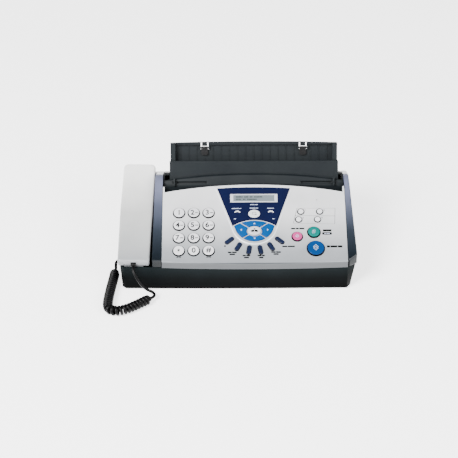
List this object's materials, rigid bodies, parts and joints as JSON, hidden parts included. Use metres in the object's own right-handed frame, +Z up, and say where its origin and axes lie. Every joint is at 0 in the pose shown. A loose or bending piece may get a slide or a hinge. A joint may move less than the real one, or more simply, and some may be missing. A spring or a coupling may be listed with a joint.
{
  "type": "fax machine",
  "caption": "Desktop fax machine with a sloping key panel that hinges up, display, corded handset in a side cradle, coiled cord, paper tray with fold-out arms, and printing rollers.",
  "frame": {"origin": "on the table, under the middle of the machine without its cord", "axes": "+X to the user's right, +Y to the back, +Z up; the key panel faces -Y and up"},
  "size_m": [0.3712, 0.2785, 0.1575],
  "materials": {
    "base_plastic": "fine moulded grain",
    "cover_plastic": "slate blue-grey, satin to gloss",
    "charcoal_plastic": "dark charcoal, satin",
    "black_plastic": "black moulded",
    "panel_plastic": "silver paint, satin",
    "window_plastic": "navy, glossy, printed",
    "display_plastic": "silver frame and grey-green liquid crystal glass",
    "white_key_plastic": "white, satin",
    "silver_key_plastic": "silver, satin",
    "navy_key_plastic": "dark navy, satin",
    "blue_key_plastic": "clear blue, satin",
    "pink_key_plastic": "pink, satin",
    "green_key_plastic": "green, satin",
    "start_key_plastic": "blue, satin",
    "handset_plastic": "light warm grey, satin",
    "cord_plastic": "black vinyl",
    "foot_rubber": "black",
    "roller_rubber": "dark grey rubber on a steel shaft",
    "ribbon_film": "black film on a moulded spool",
    "head_aluminium": "plain",
    "motor_steel": "zinc plated",
    "screw_steel": "zinc plated",
    "circuit_board": "green board with parts"
  },
  "bodies": {
    "base": {"base_housing": "base_plastic", "rubber_feet": "foot_rubber", "housing_screws": "screw_steel", "right_side_cover": "cover_plastic", "handset_cradle": "cover_plastic", "rear_top_cover": "charcoal_plastic", "paper_tray": "charcoal_plastic", "tray_front_cover": "charcoal_plastic", "main_board": "circuit_board", "print_head": "head_aluminium", "drive_motor": "motor_steel", "base_plug": "black_plastic", "cord_coil": "cord_plastic", "cord_straight_ends": "cord_plastic"},
    "panel": {"control_panel": "panel_plastic", "display_window": "window_plastic", "lcd_module": "display_plastic", "scanner_unit": "black_plastic"},
    "handset": {"handset_back_shell": "handset_plastic", "handset_front_shell": "handset_plastic", "handset_plug": "black_plastic"},
    "hook": {"hook_switch": "black_plastic"},
    "guide_left": {"document_guide_left": "charcoal_plastic"},
    "guide_right": {"document_guide_right": "charcoal_plastic"},
    "arm_left": {"paper_support_arm_left": "black_plastic"},
    "arm_right": {"paper_support_arm_right": "black_plastic"},
    "platen": {"platen_roller": "roller_rubber"},
    "supply": {"ribbon_supply_spool": "ribbon_film"},
    "takeup": {"ribbon_takeup_spool": "ribbon_film"},
    "key_star_body": {"key_star": "white_key_plastic"},
    "key_0_body": {"key_0": "white_key_plastic"},
    "key_hash_body": {"key_hash": "white_key_plastic"},
    "key_7_body": {"key_7": "white_key_plastic"},
    "key_8_body": {"key_8": "white_key_plastic"},
    "key_9_body": {"key_9": "white_key_plastic"},
    "key_4_body": {"key_4": "white_key_plastic"},
    "key_5_body": {"key_5": "white_key_plastic"},
    "key_6_body": {"key_6": "white_key_plastic"},
    "key_1_body": {"key_1": "white_key_plastic"},
    "key_2_body": {"key_2": "white_key_plastic"},
    "key_3_body": {"key_3": "white_key_plastic"},
    "function_key_1_body": {"function_key_1": "navy_key_plastic"},
    "function_key_2_body": {"function_key_2": "navy_key_plastic"},
    "function_key_3_body": {"function_key_3": "navy_key_plastic"},
    "function_key_4_body": {"function_key_4": "navy_key_plastic"},
    "function_key_5_body": {"function_key_5": "navy_key_plastic"},
    "function_key_6_body": {"function_key_6": "navy_key_plastic"},
    "one_touch_key_1_body": {"one_touch_key_1": "white_key_plastic"},
    "one_touch_key_2_body": {"one_touch_key_2": "white_key_plastic"},
    "one_touch_key_3_body": {"one_touch_key_3": "white_key_plastic"},
    "one_touch_key_4_body": {"one_touch_key_4": "white_key_plastic"},
    "arrow_key_up_body": {"arrow_key_up": "blue_key_plastic"},
    "arrow_key_down_body": {"arrow_key_down": "blue_key_plastic"},
    "arrow_key_left_body": {"arrow_key_left": "blue_key_plastic"},
    "arrow_key_right_body": {"arrow_key_right": "blue_key_plastic"},
    "menu_key_body": {"menu_key": "silver_key_plastic"},
    "mode_key_body": {"mode_key": "white_key_plastic"},
    "stop_key_body": {"stop_key": "pink_key_plastic"},
    "copy_key_body": {"copy_key": "green_key_plastic"},
    "start_key_body": {"start_key": "start_key_plastic"}
  },
  "joints": [
    {"name": "panel_hinge", "type": "hinge", "parent": "base", "child": "panel", "pos_m": [0.0265, 0.01397, 0.10401], "axis": [-1, 0, 0], "range_deg": [0, 50]},
    {"name": "handset_lift", "type": "slide", "parent": "base", "child": "handset", "axis": [-0.0108, -0.3549, 0.9348], "range_m": [0, 0.06]},
    {"name": "hook_rise", "type": "slide", "parent": "base", "child": "hook", "axis": [-0.0108, -0.3549, 0.9348], "range_m": [0, 0.003]},
    {"name": "guide_left_slide", "type": "slide", "parent": "base", "child": "guide_left", "axis": [1, 0, 0], "range_m": [0, 0.045]},
    {"name": "guide_right_slide", "type": "slide", "parent": "base", "child": "guide_right", "axis": [-1, 0, 0], "range_m": [0, 0.045]},
    {"name": "arm_left_hinge", "type": "hinge", "parent": "base", "child": "arm_left", "pos_m": [-0.0469, 0.0661, 0.14669], "axis": [-1, 0, 0], "range_deg": [0, 150]},
    {"name": "arm_right_hinge", "type": "hinge", "parent": "base", "child": "arm_right", "pos_m": [0.1019, 0.0661, 0.14669], "axis": [-1, 0, 0], "range_deg": [0, 150]},
    {"name": "platen_spin", "type": "hinge", "parent": "base", "child": "platen", "pos_m": [0.0265, -0.05, 0.055], "axis": [1, 0, 0], "continuous": true},
    {"name": "supply_spin", "type": "hinge", "parent": "base", "child": "supply", "pos_m": [0.0265, -0.015, 0.042], "axis": [1, 0, 0], "continuous": true},
    {"name": "takeup_spin", "type": "hinge", "parent": "base", "child": "takeup", "pos_m": [0.0265, -0.082, 0.026], "axis": [1, 0, 0], "continuous": true},
    {"name": "key_star_press", "type": "slide", "parent": "panel", "child": "key_star_body", "axis": [0, 0.4384, -0.8988], "range_m": [0, 0.0012], "stiffness_N_per_m": 400, "springref_m": -0.0003},
    {"name": "key_0_press", "type": "slide", "parent": "panel", "child": "key_0_body", "axis": [0, 0.4384, -0.8988], "range_m": [0, 0.0012], "stiffness_N_per_m": 400, "springref_m": -0.0003},
    {"name": "key_hash_press", "type": "slide", "parent": "panel", "child": "key_hash_body", "axis": [0, 0.4384, -0.8988], "range_m": [0, 0.0012], "stiffness_N_per_m": 400, "springref_m": -0.0003},
    {"name": "key_7_press", "type": "slide", "parent": "panel", "child": "key_7_body", "axis": [0, 0.4384, -0.8988], "range_m": [0, 0.0012], "stiffness_N_per_m": 400, "springref_m": -0.0003},
    {"name": "key_8_press", "type": "slide", "parent": "panel", "child": "key_8_body", "axis": [0, 0.4384, -0.8988], "range_m": [0, 0.0012], "stiffness_N_per_m": 400, "springref_m": -0.0003},
    {"name": "key_9_press", "type": "slide", "parent": "panel", "child": "key_9_body", "axis": [0, 0.4384, -0.8988], "range_m": [0, 0.0012], "stiffness_N_per_m": 400, "springref_m": -0.0003},
    {"name": "key_4_press", "type": "slide", "parent": "panel", "child": "key_4_body", "axis": [0, 0.4384, -0.8988], "range_m": [0, 0.0012], "stiffness_N_per_m": 400, "springref_m": -0.0003},
    {"name": "key_5_press", "type": "slide", "parent": "panel", "child": "key_5_body", "axis": [0, 0.4384, -0.8988], "range_m": [0, 0.0012], "stiffness_N_per_m": 400, "springref_m": -0.0003},
    {"name": "key_6_press", "type": "slide", "parent": "panel", "child": "key_6_body", "axis": [0, 0.4384, -0.8988], "range_m": [0, 0.0012], "stiffness_N_per_m": 400, "springref_m": -0.0003},
    {"name": "key_1_press", "type": "slide", "parent": "panel", "child": "key_1_body", "axis": [0, 0.4384, -0.8988], "range_m": [0, 0.0012], "stiffness_N_per_m": 400, "springref_m": -0.0003},
    {"name": "key_2_press", "type": "slide", "parent": "panel", "child": "key_2_body", "axis": [0, 0.4384, -0.8988], "range_m": [0, 0.0012], "stiffness_N_per_m": 400, "springref_m": -0.0003},
    {"name": "key_3_press", "type": "slide", "parent": "panel", "child": "key_3_body", "axis": [0, 0.4384, -0.8988], "range_m": [0, 0.0012], "stiffness_N_per_m": 400, "springref_m": -0.0003},
    {"name": "function_key_1_press", "type": "slide", "parent": "panel", "child": "function_key_1_body", "axis": [0, 0.4384, -0.8988], "range_m": [0, 0.0012], "stiffness_N_per_m": 400, "springref_m": -0.0003},
    {"name": "function_key_2_press", "type": "slide", "parent": "panel", "child": "function_key_2_body", "axis": [0, 0.4384, -0.8988], "range_m": [0, 0.0012], "stiffness_N_per_m": 400, "springref_m": -0.0003},
    {"name": "function_key_3_press", "type": "slide", "parent": "panel", "child": "function_key_3_body", "axis": [0, 0.4384, -0.8988], "range_m": [0, 0.0012], "stiffness_N_per_m": 400, "springref_m": -0.0003},
    {"name": "function_key_4_press", "type": "slide", "parent": "panel", "child": "function_key_4_body", "axis": [0, 0.4384, -0.8988], "range_m": [0, 0.0012], "stiffness_N_per_m": 400, "springref_m": -0.0003},
    {"name": "function_key_5_press", "type": "slide", "parent": "panel", "child": "function_key_5_body", "axis": [0, 0.4384, -0.8988], "range_m": [0, 0.0012], "stiffness_N_per_m": 400, "springref_m": -0.0003},
    {"name": "function_key_6_press", "type": "slide", "parent": "panel", "child": "function_key_6_body", "axis": [0, 0.4384, -0.8988], "range_m": [0, 0.0012], "stiffness_N_per_m": 400, "springref_m": -0.0003},
    {"name": "one_touch_key_1_press", "type": "slide", "parent": "panel", "child": "one_touch_key_1_body", "axis": [0, 0.4384, -0.8988], "range_m": [0, 0.0012], "stiffness_N_per_m": 400, "springref_m": -0.0003},
    {"name": "one_touch_key_2_press", "type": "slide", "parent": "panel", "child": "one_touch_key_2_body", "axis": [0, 0.4384, -0.8988], "range_m": [0, 0.0012], "stiffness_N_per_m": 400, "springref_m": -0.0003},
    {"name": "one_touch_key_3_press", "type": "slide", "parent": "panel", "child": "one_touch_key_3_body", "axis": [0, 0.4384, -0.8988], "range_m": [0, 0.0012], "stiffness_N_per_m": 400, "springref_m": -0.0003},
    {"name": "one_touch_key_4_press", "type": "slide", "parent": "panel", "child": "one_touch_key_4_body", "axis": [0, 0.4384, -0.8988], "range_m": [0, 0.0012], "stiffness_N_per_m": 400, "springref_m": -0.0003},
    {"name": "arrow_key_up_press", "type": "slide", "parent": "panel", "child": "arrow_key_up_body", "axis": [0, 0.4384, -0.8988], "range_m": [0, 0.0012], "stiffness_N_per_m": 400, "springref_m": -0.0003},
    {"name": "arrow_key_down_press", "type": "slide", "parent": "panel", "child": "arrow_key_down_body", "axis": [0, 0.4384, -0.8988], "range_m": [0, 0.0012], "stiffness_N_per_m": 400, "springref_m": -0.0003},
    {"name": "arrow_key_left_press", "type": "slide", "parent": "panel", "child": "arrow_key_left_body", "axis": [0, 0.4384, -0.8988], "range_m": [0, 0.0012], "stiffness_N_per_m": 400, "springref_m": -0.0003},
    {"name": "arrow_key_right_press", "type": "slide", "parent": "panel", "child": "arrow_key_right_body", "axis": [0, 0.4384, -0.8988], "range_m": [0, 0.0012], "stiffness_N_per_m": 400, "springref_m": -0.0003},
    {"name": "menu_key_press", "type": "slide", "parent": "panel", "child": "menu_key_body", "axis": [0, 0.4384, -0.8988], "range_m": [0, 0.0012], "stiffness_N_per_m": 400, "springref_m": -0.0003},
    {"name": "mode_key_press", "type": "slide", "parent": "panel", "child": "mode_key_body", "axis": [0, 0.4384, -0.8988], "range_m": [0, 0.0012], "stiffness_N_per_m": 400, "springref_m": -0.0003},
    {"name": "stop_key_press", "type": "slide", "parent": "panel", "child": "stop_key_body", "axis": [0, 0.4384, -0.8988], "range_m": [0, 0.0012], "stiffness_N_per_m": 400, "springref_m": -0.0003},
    {"name": "copy_key_press", "type": "slide", "parent": "panel", "child": "copy_key_body", "axis": [0, 0.4384, -0.8988], "range_m": [0, 0.0012], "stiffness_N_per_m": 400, "springref_m": -0.0003},
    {"name": "start_key_press", "type": "slide", "parent": "panel", "child": "start_key_body", "axis": [0, 0.4384, -0.8988], "range_m": [0, 0.0012], "stiffness_N_per_m": 400, "springref_m": -0.0003}
  ],
  "couplings": [
    {"joint": "hook_rise", "follows": "handset_lift", "ratio": 0.05},
    {"joint": "guide_right_slide", "follows": "guide_left_slide", "ratio": 1},
    {"joint": "supply_spin", "follows": "platen_spin", "ratio": -0.6154},
    {"joint": "takeup_spin", "follows": "platen_spin", "ratio": -1.1429}
  ]
}
